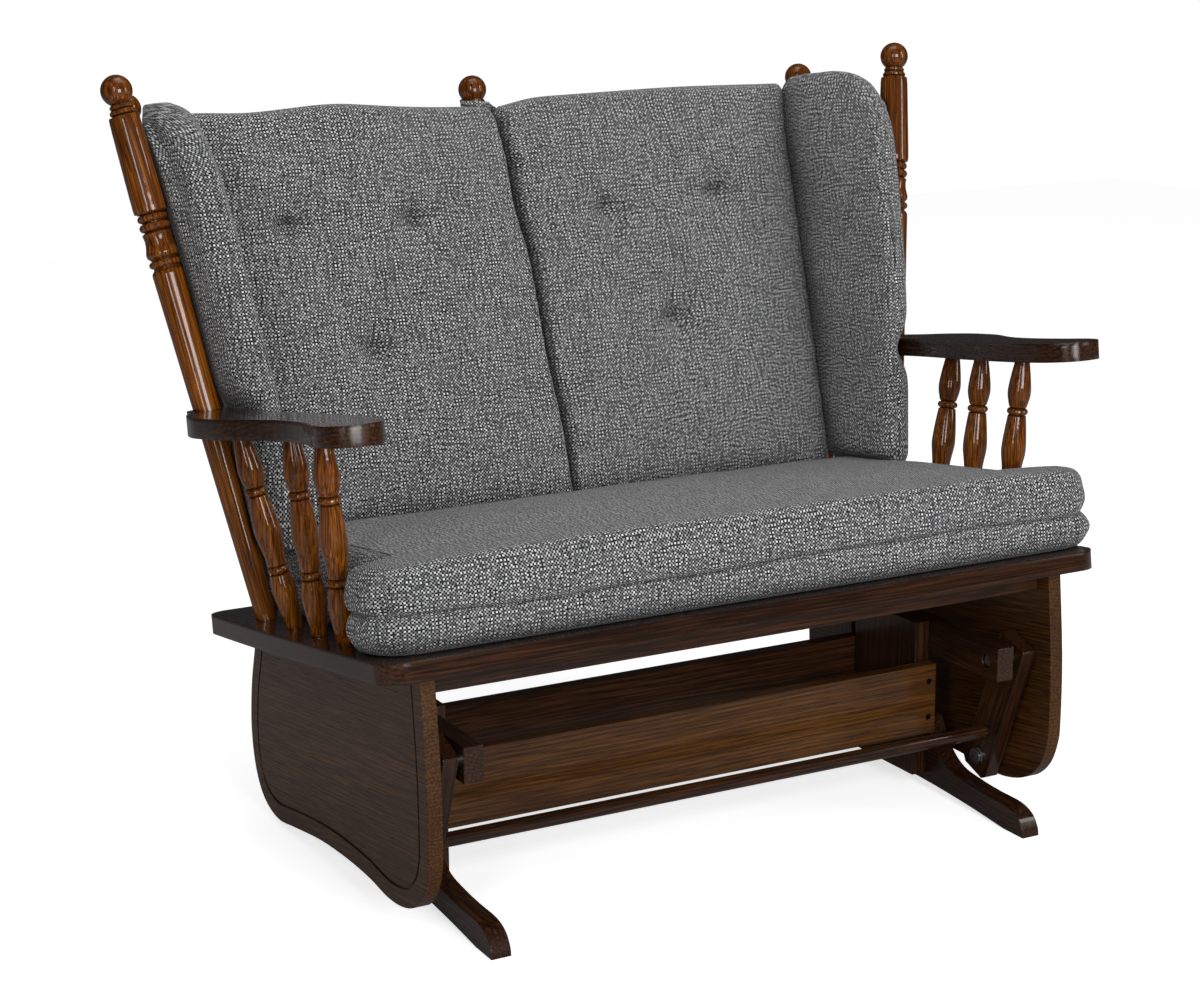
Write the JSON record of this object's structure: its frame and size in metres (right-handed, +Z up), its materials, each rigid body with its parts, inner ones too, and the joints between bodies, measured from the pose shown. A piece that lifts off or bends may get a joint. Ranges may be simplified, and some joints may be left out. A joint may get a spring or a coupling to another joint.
{
  "type": "loveseat glider",
  "caption": "Two-seat oak glider: turned posts and spindles, bow arms, loose tweed cushions, and a seat hung on four swinging links from a trestle base.",
  "frame": {"origin": "on the floor, under the middle of the outline", "axes": "+Z up, +X to the sitter's left, -Y to the front of the seat"},
  "size_m": [1.332, 0.9414, 1.0754],
  "materials": {
    "dark_oak": "dark walnut-stained oak, satin lacquer",
    "warm_oak": "turned oak, lighter where the stain is rubbed thin, glossy lacquer",
    "tweed": "coarse woven tweed in black, grey and white yarns",
    "steel": "zinc-plated bolts, spacers and screws",
    "nylon": "off-white nylon bushings"
  },
  "bodies": {
    "base": {"right_foot": "dark_oak", "left_foot": "dark_oak", "right_upright": "dark_oak", "left_upright": "dark_oak", "right_rail": "dark_oak", "left_rail": "dark_oak", "front_board": "dark_oak", "rear_board": "dark_oak", "board_screws": "steel", "upper_bolts": "steel", "upper_spacers": "steel"},
    "front_links": {"front_right_link": "dark_oak", "front_left_link": "dark_oak", "front_rod": "dark_oak", "front_bushings": "nylon"},
    "rear_links": {"rear_right_link": "dark_oak", "rear_left_link": "dark_oak", "rear_rod": "dark_oak", "rear_bushings": "nylon"},
    "seat": {"seat_board": "dark_oak", "front_apron": "dark_oak", "right_cleat": "dark_oak", "left_cleat": "dark_oak", "right_panel": "dark_oak", "left_panel": "dark_oak", "lower_bolts": "steel", "lower_spacers": "steel", "right_wing_post": "warm_oak", "left_wing_post": "warm_oak", "right_inner_post": "warm_oak", "left_inner_post": "warm_oak", "centre_post": "warm_oak", "right_back_rungs": "warm_oak", "left_back_rungs": "warm_oak", "right_wing_rungs": "warm_oak", "left_wing_rungs": "warm_oak", "right_arm": "dark_oak", "left_arm": "dark_oak", "right_front_spindle": "warm_oak", "right_middle_spindle": "warm_oak", "right_rear_spindle": "warm_oak", "left_front_spindle": "warm_oak", "left_middle_spindle": "warm_oak", "left_rear_spindle": "warm_oak", "seat_cushion": "tweed", "right_back_cushion": "tweed", "left_back_cushion": "tweed", "right_wing_cushion": "tweed", "left_wing_cushion": "tweed"}
  },
  "joints": [
    {"name": "front_link_swing", "type": "hinge", "parent": "base", "child": "front_links", "pos_m": [0, -0.37372, 0.238], "axis": [1, 0, 0], "range_deg": [-15, 14]},
    {"name": "seat_glide", "type": "hinge", "parent": "front_links", "child": "seat", "pos_m": [0, -0.30986, 0.0681], "axis": [1, 0, 0], "range_deg": [-17.8, 19.1]},
    {"name": "rear_link_swing", "type": "hinge", "parent": "base", "child": "rear_links", "pos_m": [0, 0.06128, 0.238], "axis": [1, 0, 0], "range_deg": [-14.1, 13.2]}
  ],
  "couplings": [
    {"joint": "seat_glide", "follows": "front_link_swing", "ratio": -1.2635},
    {"joint": "rear_link_swing", "follows": "front_link_swing", "ratio": 0.9339}
  ]
}
